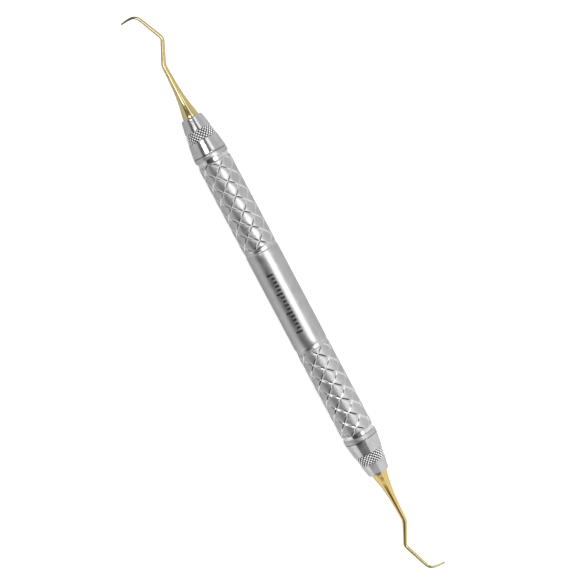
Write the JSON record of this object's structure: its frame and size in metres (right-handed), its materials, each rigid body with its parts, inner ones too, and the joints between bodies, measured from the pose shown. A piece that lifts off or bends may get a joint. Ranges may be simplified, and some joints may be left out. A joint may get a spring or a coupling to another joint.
{
  "type": "double-ended dental hand scaler",
  "caption": "Slim double-ended dental scaler: hollow knurl-gripped steel handle, knurled screw-in cones, and mirrored gold-coated sickle tips.",
  "frame": {"origin": "centre of the handle, on its axis", "axes": "+X along the handle towards end A; +Y the side that end A's blade points to; +Z square to the plane of end A's first bend"},
  "size_m": [0.1724, 0.0106, 0.0096],
  "materials": {
    "satin_steel": "fine-blasted stainless steel, satin, with brighter edges on the diamond grip",
    "turned_steel": "turned stainless steel with faint tool rings",
    "polished_steel": "polished stainless steel with a fine diamond knurl",
    "gold_coating": "thin hard gold-coloured nitride coating over polished steel",
    "black_seal": "matt black elastomer"
  },
  "bodies": {
    "handle": {"handle_tube": "satin_steel", "threaded_plug_a": "turned_steel", "threaded_plug_b": "turned_steel"},
    "seal_a": {"sealing_ring_a": "black_seal"},
    "seal_b": {"sealing_ring_b": "black_seal"},
    "working_end_a": {"knurled_cone_a": "polished_steel", "scaler_tip_a": "gold_coating"},
    "working_end_b": {"knurled_cone_b": "polished_steel", "scaler_tip_b": "gold_coating"}
  },
  "joints": [
    {"name": "end_a_travel", "type": "slide", "parent": "handle", "child": "seal_a", "axis": [1, 0, 0], "range_m": [0, 0.0056]},
    {"name": "end_a_screw", "type": "hinge", "parent": "seal_a", "child": "working_end_a", "pos_m": [0.05, 0, 0], "axis": [1, 0, 0], "range_deg": [0, 2520]},
    {"name": "end_b_travel", "type": "slide", "parent": "handle", "child": "seal_b", "axis": [-1, 0, 0], "range_m": [0, 0.0056]},
    {"name": "end_b_screw", "type": "hinge", "parent": "seal_b", "child": "working_end_b", "pos_m": [-0.05, 0, 0], "axis": [-1, 0, 0], "range_deg": [0, 2520]}
  ],
  "couplings": [
    {"joint": "end_a_screw", "follows": "end_a_travel", "rad_per_m": 7854},
    {"joint": "end_b_screw", "follows": "end_b_travel", "rad_per_m": 7854}
  ]
}
